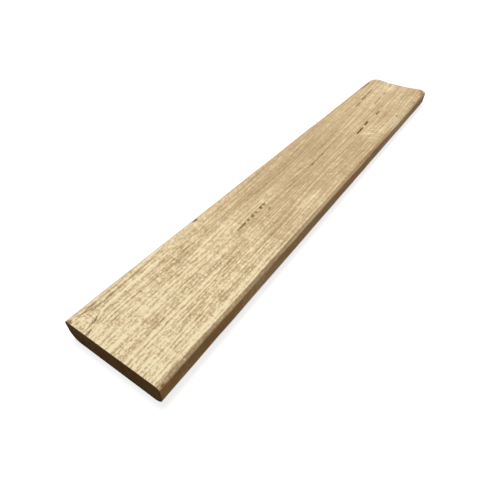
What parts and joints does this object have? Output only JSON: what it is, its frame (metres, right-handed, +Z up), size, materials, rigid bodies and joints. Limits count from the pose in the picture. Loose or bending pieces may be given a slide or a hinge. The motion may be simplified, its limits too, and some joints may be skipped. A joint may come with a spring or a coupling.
{
  "type": "timber plank",
  "caption": "Planed hardwood plank with bevelled upper and rounded lower edges, one end sawn square and the other worn round and slightly hollow, for shelves, slats and general building.",
  "frame": {"origin": "on the floor under the middle of the plank, which lies flat on its back face", "axes": "+X along the grain from the sawn end to the worn end, +Y to the left of someone looking along +X, +Z up out of the face"},
  "size_m": [0.6, 0.092, 0.022],
  "materials": {
    "timber": "planed and left raw: matt, open grained, pale tan with darker sawn end and edges"
  },
  "bodies": {
    "root": {"plank": "timber"}
  },
  "joints": []
}
